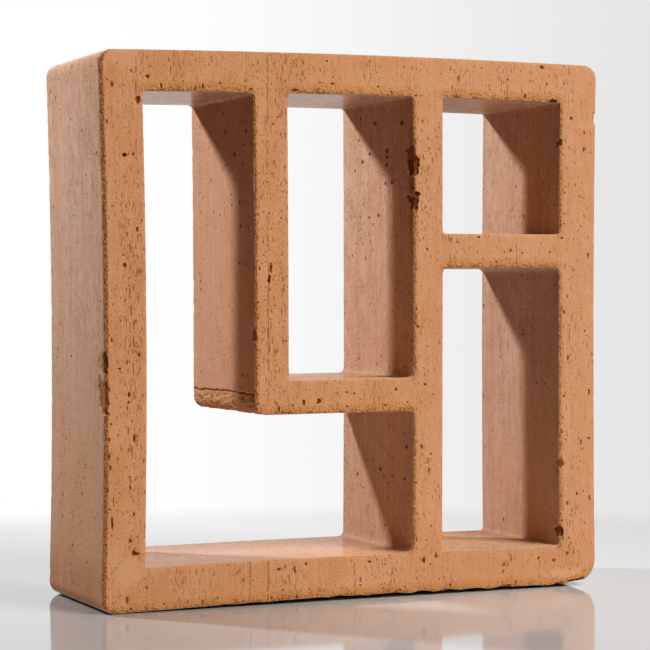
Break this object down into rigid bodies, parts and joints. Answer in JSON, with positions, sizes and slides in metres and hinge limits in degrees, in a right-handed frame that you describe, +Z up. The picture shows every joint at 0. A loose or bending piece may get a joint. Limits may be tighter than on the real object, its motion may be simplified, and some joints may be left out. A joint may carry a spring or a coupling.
{
  "type": "breeze block",
  "caption": "Square fired-clay screen block with rounded outer corners and an offset maze of webs around an L-shaped channel and three rectangular through cells.",
  "frame": {"origin": "middle of the bed face, which the block stands on", "axes": "+Z up, +X across the block to the right seen from the front, -Y out of the front wire-cut face"},
  "size_m": [0.25, 0.08, 0.25],
  "materials": {
    "fired_clay": "matt, unglazed, wire-cut on the front and back, smooth die skin on the sides and in the cells"
  },
  "bodies": {
    "root": {"block": "fired_clay"}
  },
  "joints": []
}
